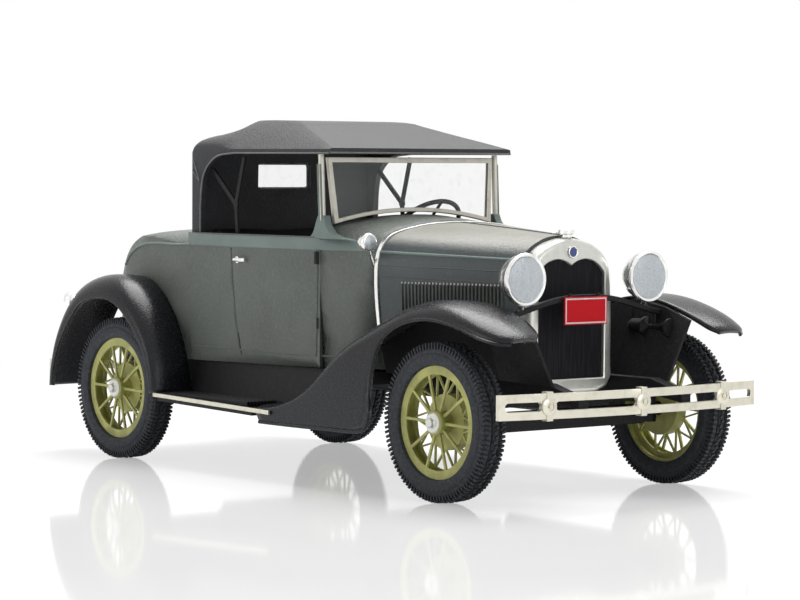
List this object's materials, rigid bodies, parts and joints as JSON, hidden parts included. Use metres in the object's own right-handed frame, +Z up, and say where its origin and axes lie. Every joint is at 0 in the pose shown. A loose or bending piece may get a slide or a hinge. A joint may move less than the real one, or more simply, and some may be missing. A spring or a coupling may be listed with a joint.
{
  "type": "scale model roadster",
  "caption": "Small resin and etched-metal scale model of an open 1920s-style roadster with folding top raised, wire wheels and slotted bumpers; it rolls on its wheels.",
  "frame": {"origin": "on the ground under the middle of the car's bounding box", "axes": "+Z up; -Y towards the front of the car; +X towards the car's left side"},
  "size_m": [0.0192, 0.045, 0.0204],
  "materials": {
    "tyre": "matt",
    "wheel_green": "satin",
    "black_paint": "gloss",
    "olive_paint": "matt",
    "teal_paint": "matt",
    "bright_metal": "polished",
    "glass": "clear",
    "top_grey": "matt",
    "interior_black": "matt",
    "badge_blue": "gloss",
    "plate_red": "gloss"
  },
  "bodies": {
    "car": {"badge_disc": "badge_blue", "belt_moulding": "teal_paint", "board_strips": "bright_metal", "body_tub": "olive_paint", "chassis_frame": "black_paint", "cowl": "olive_paint", "cowl_band": "bright_metal", "cowl_lamps": "bright_metal", "dashboard": "interior_black", "front_axle": "black_paint", "front_bumper": "bright_metal", "front_fender_left": "black_paint", "front_fender_right": "black_paint", "front_spring": "black_paint", "front_valances": "black_paint", "headlamp_bar": "black_paint", "headlamp_lenses": "glass", "headlamps": "bright_metal", "hood": "olive_paint", "horn": "black_paint", "licence_plate": "plate_red", "radiator_cap": "bright_metal", "radiator_core": "interior_black", "radiator_shell": "bright_metal", "rear_axle": "black_paint", "rear_bumpers": "bright_metal", "rear_fender_left": "black_paint", "rear_fender_right": "black_paint", "rear_spring": "black_paint", "rear_window_pane": "glass", "running_boards": "black_paint", "seat_back": "interior_black", "seat_cushion": "interior_black", "soft_top": "top_grey", "splash_aprons": "black_paint", "steering_wheel": "interior_black", "tail_lamps": "bright_metal", "top_irons": "interior_black", "windscreen_frame": "bright_metal", "windscreen_glass": "glass", "windscreen_posts": "teal_paint"},
    "wheel_front_left": {"spoke_wheel_front_left": "wheel_green", "tyre_front_left": "tyre"},
    "wheel_front_right": {"spoke_wheel_front_right": "wheel_green", "tyre_front_right": "tyre"},
    "wheel_rear_left": {"spoke_wheel_rear_left": "wheel_green", "tyre_rear_left": "tyre"},
    "wheel_rear_right": {"spoke_wheel_rear_right": "wheel_green", "tyre_rear_right": "tyre"}
  },
  "joints": [
    {"name": "wheel_front_left_spin", "type": "hinge", "parent": "car", "child": "wheel_front_left", "pos_m": [0.00825, -0.0158, 0.00429], "axis": [1, 0, 0], "continuous": true},
    {"name": "wheel_front_right_spin", "type": "hinge", "parent": "car", "child": "wheel_front_right", "pos_m": [-0.00825, -0.0158, 0.00429], "axis": [1, 0, 0], "continuous": true},
    {"name": "wheel_rear_left_spin", "type": "hinge", "parent": "car", "child": "wheel_rear_left", "pos_m": [0.00825, 0.0144, 0.00429], "axis": [1, 0, 0], "continuous": true},
    {"name": "wheel_rear_right_spin", "type": "hinge", "parent": "car", "child": "wheel_rear_right", "pos_m": [-0.00825, 0.0144, 0.00429], "axis": [1, 0, 0], "continuous": true}
  ]
}
